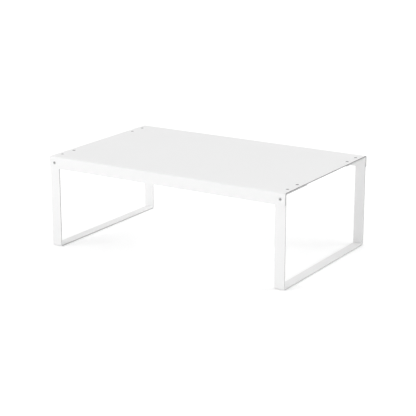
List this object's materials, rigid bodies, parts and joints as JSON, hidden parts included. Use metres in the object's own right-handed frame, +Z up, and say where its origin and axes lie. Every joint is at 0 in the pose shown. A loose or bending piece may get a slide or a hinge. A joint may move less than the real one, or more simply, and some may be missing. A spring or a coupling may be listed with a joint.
{
  "type": "shelf riser",
  "caption": "Free-standing white steel shelf riser: a flat plate with turned-down front and back edges on bent strip legs, for a second level in a cupboard.",
  "frame": {"origin": "on the floor under the middle of the shelf plate", "axes": "+X to the right along the plate's length, +Y to the back, +Z up"},
  "size_m": [0.46, 0.29, 0.16],
  "materials": {
    "white_powder_coat": "smooth satin white powder coat",
    "zinc_plated_steel": "bright zinc plating"
  },
  "bodies": {
    "root": {"back_left_inner_nut": "white_powder_coat", "back_left_inner_screw": "zinc_plated_steel", "back_left_outer_nut": "white_powder_coat", "back_left_outer_screw": "zinc_plated_steel", "back_right_inner_nut": "white_powder_coat", "back_right_inner_screw": "zinc_plated_steel", "back_right_outer_nut": "white_powder_coat", "back_right_outer_screw": "zinc_plated_steel", "front_left_flange_nut": "white_powder_coat", "front_left_flange_screw": "zinc_plated_steel", "front_left_inner_nut": "white_powder_coat", "front_left_inner_screw": "zinc_plated_steel", "front_left_outer_nut": "white_powder_coat", "front_left_outer_screw": "zinc_plated_steel", "front_right_flange_nut": "white_powder_coat", "front_right_flange_screw": "zinc_plated_steel", "front_right_inner_nut": "white_powder_coat", "front_right_inner_screw": "zinc_plated_steel", "front_right_outer_nut": "white_powder_coat", "front_right_outer_screw": "zinc_plated_steel", "left_leg": "white_powder_coat", "right_leg": "white_powder_coat", "shelf_plate": "white_powder_coat"}
  },
  "joints": []
}
